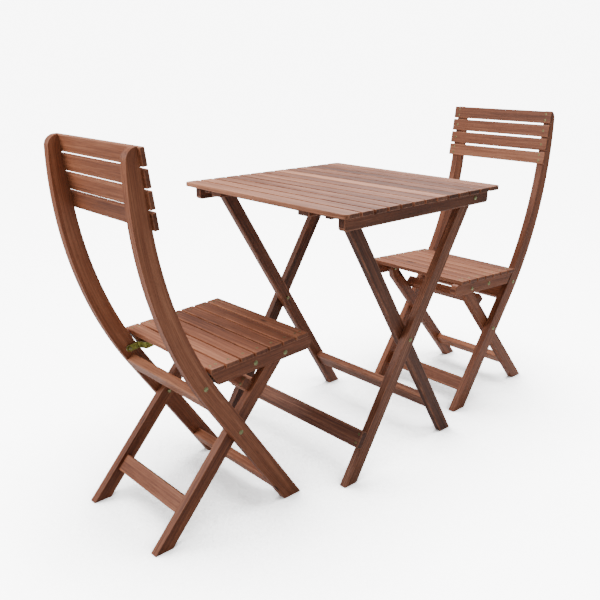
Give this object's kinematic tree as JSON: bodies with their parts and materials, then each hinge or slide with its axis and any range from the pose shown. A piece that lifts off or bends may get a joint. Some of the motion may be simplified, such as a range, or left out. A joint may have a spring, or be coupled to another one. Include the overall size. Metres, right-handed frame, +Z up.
{
  "type": "patio dining set",
  "caption": "Folding slatted hardwood table on crossed legs with facing folding slatted chairs that have curved posts, steel links and a sloped seat.",
  "frame": {"origin": "on the floor, under the middle of the table top", "axes": "+Z up; X along the table's slats; Y through both chairs, the near chair at -Y facing +Y and the far chair at +Y facing -Y"},
  "size_m": [0.61, 1.4978, 0.887],
  "materials": {
    "table_wood": "oiled",
    "chair_wood": "oiled",
    "screws": "yellow zinc, satin",
    "bolts": "satin",
    "links": "yellow zinc, satin"
  },
  "bodies": {
    "table_outer_frame": {"table_left_outer_leg": "table_wood", "table_right_outer_leg": "table_wood", "table_outer_stretcher": "table_wood", "table_stretcher_screws": "screws", "table_pivot_bolts": "bolts", "table_crossing_bolts": "bolts"},
    "table_inner_frame": {"table_left_inner_leg": "table_wood", "table_right_inner_leg": "table_wood", "table_inner_stretcher": "table_wood", "table_inner_crossbar": "table_wood"},
    "table_top": {"table_inner_slats": "table_wood", "table_edge_slats": "table_wood", "table_left_rail": "table_wood", "table_right_rail": "table_wood", "table_battens": "table_wood", "table_catch_blocks": "table_wood", "table_slat_screws": "screws"},
    "near_chair_posts": {"near_chair_left_post": "chair_wood", "near_chair_right_post": "chair_wood", "near_chair_back_slats": "chair_wood", "near_chair_mid_bar": "chair_wood", "near_chair_low_bar": "chair_wood", "near_chair_back_screws": "screws", "near_chair_post_bolts": "bolts"},
    "near_chair_rear_frame": {"near_chair_left_rear_leg": "chair_wood", "near_chair_right_rear_leg": "chair_wood", "near_chair_rear_stretcher": "chair_wood", "near_chair_seat_bar": "chair_wood", "near_chair_bar_screws": "screws", "near_chair_front_bolts": "bolts"},
    "near_chair_seat": {"near_chair_left_seat_rail": "chair_wood", "near_chair_right_seat_rail": "chair_wood", "near_chair_seat_slats": "chair_wood", "near_chair_seat_screws": "screws", "near_chair_link_bolts": "bolts"},
    "near_chair_links": {"near_chair_left_link": "links", "near_chair_right_link": "links"},
    "far_chair_posts": {"far_chair_left_post": "chair_wood", "far_chair_right_post": "chair_wood", "far_chair_back_slats": "chair_wood", "far_chair_mid_bar": "chair_wood", "far_chair_low_bar": "chair_wood", "far_chair_back_screws": "screws", "far_chair_post_bolts": "bolts"},
    "far_chair_rear_frame": {"far_chair_left_rear_leg": "chair_wood", "far_chair_right_rear_leg": "chair_wood", "far_chair_rear_stretcher": "chair_wood", "far_chair_seat_bar": "chair_wood", "far_chair_bar_screws": "screws", "far_chair_front_bolts": "bolts"},
    "far_chair_seat": {"far_chair_left_seat_rail": "chair_wood", "far_chair_right_seat_rail": "chair_wood", "far_chair_seat_slats": "chair_wood", "far_chair_seat_screws": "screws", "far_chair_link_bolts": "bolts"},
    "far_chair_links": {"far_chair_left_link": "links", "far_chair_right_link": "links"}
  },
  "joints": [
    {"name": "table_leg_fold", "type": "hinge", "parent": "table_outer_frame", "child": "table_inner_frame", "pos_m": [0, 0.002, 0.344], "axis": [-1, 0, 0], "range_deg": [0, 55]},
    {"name": "table_top_lift", "type": "hinge", "parent": "table_outer_frame", "child": "table_top", "pos_m": [0, 0.217, 0.693], "axis": [-1, 0, 0], "range_deg": [0, 55.1]},
    {"name": "near_chair_slide", "type": "slide", "parent": "table_outer_frame", "child": "near_chair_posts", "axis": [0, -1, 0], "range_m": [-0.12, 0.3]},
    {"name": "near_chair_fold", "type": "hinge", "parent": "near_chair_posts", "child": "near_chair_rear_frame", "pos_m": [0.022, -0.505, 0.232], "axis": [1, 0, 0], "range_deg": [0, 44]},
    {"name": "near_chair_seat_turn", "type": "hinge", "parent": "near_chair_rear_frame", "child": "near_chair_seat", "pos_m": [0.022, -0.37055, 0.39076], "axis": [1, 0, 0], "range_deg": [-97.12, 0.1]},
    {"name": "near_chair_link_turn", "type": "hinge", "parent": "near_chair_posts", "child": "near_chair_links", "pos_m": [0.022, -0.59615, 0.36713], "axis": [1, 0, 0], "range_deg": [-0.1, 71.71]},
    {"name": "far_chair_slide", "type": "slide", "parent": "table_outer_frame", "child": "far_chair_posts", "axis": [0, 1, 0], "range_m": [-0.12, 0.3]},
    {"name": "far_chair_fold", "type": "hinge", "parent": "far_chair_posts", "child": "far_chair_rear_frame", "pos_m": [0.022, 0.505, 0.232], "axis": [-1, 0, 0], "range_deg": [0, 44]},
    {"name": "far_chair_seat_turn", "type": "hinge", "parent": "far_chair_rear_frame", "child": "far_chair_seat", "pos_m": [0.022, 0.37055, 0.39076], "axis": [-1, 0, 0], "range_deg": [-97.12, 0.1]},
    {"name": "far_chair_link_turn", "type": "hinge", "parent": "far_chair_posts", "child": "far_chair_links", "pos_m": [0.022, 0.59615, 0.36713], "axis": [-1, 0, 0], "range_deg": [-0.1, 71.71]}
  ],
  "couplings": [
    {"joint": "table_top_lift", "follows": "table_leg_fold", "ratio": 1},
    {"joint": "near_chair_seat_turn", "follows": "near_chair_fold", "ratio": -2.2051},
    {"joint": "near_chair_link_turn", "follows": "near_chair_fold", "ratio": 1.6276},
    {"joint": "far_chair_seat_turn", "follows": "far_chair_fold", "ratio": -2.2051},
    {"joint": "far_chair_link_turn", "follows": "far_chair_fold", "ratio": 1.6276}
  ]
}
